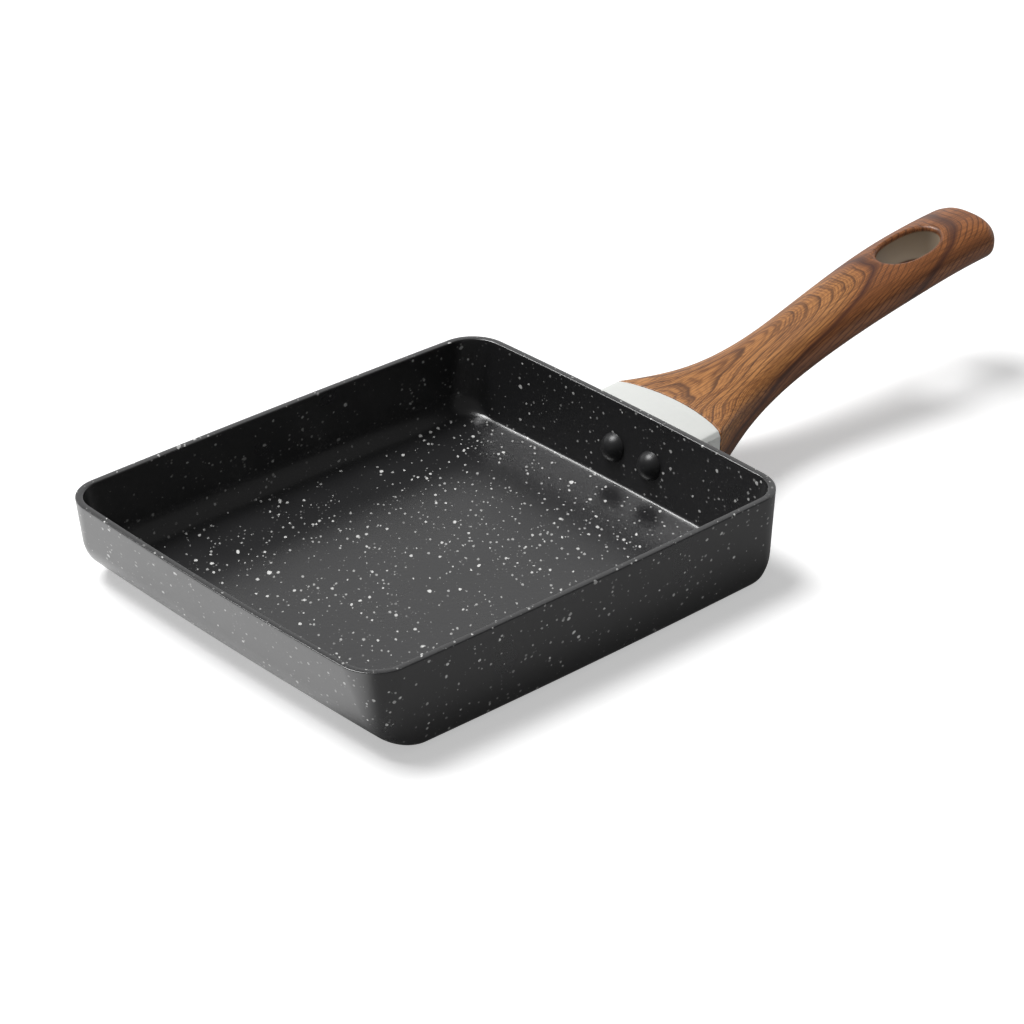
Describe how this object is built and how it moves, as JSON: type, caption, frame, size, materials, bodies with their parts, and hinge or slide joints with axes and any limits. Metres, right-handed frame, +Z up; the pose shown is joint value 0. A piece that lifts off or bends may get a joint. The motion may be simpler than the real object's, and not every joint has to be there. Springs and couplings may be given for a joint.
{
  "type": "tamagoyaki pan",
  "caption": "Rectangular rolled-omelette frying pan with a speckled dark coating, riveted handle, pale collar and wood-look grip with a hanging hole.",
  "frame": {"origin": "middle of the base plate's lower face, the face that the pan stands on, midway between the ends and the sides of the rim", "axes": "+X from the pan towards the handle's end, +Y to the left seen from the front wall towards the handle, +Z up, out of the pan's open side"},
  "size_m": [0.3482, 0.1514, 0.0566],
  "materials": {
    "coating": "satin speckled non-stick coating on cast aluminium",
    "base_steel": "brushed",
    "bracket_metal": "cast",
    "rivet": "satin coated",
    "collar": "satin silver",
    "grip": "wood-look film under satin lacquer",
    "screw": "plated"
  },
  "bodies": {
    "root": {"pan_shell": "coating", "base_plate": "base_steel", "handle_bracket": "bracket_metal", "rivet_left": "rivet", "rivet_right": "rivet", "collar": "collar", "grip": "grip", "grip_screw": "screw", "lock_washer": "screw"}
  },
  "joints": []
}
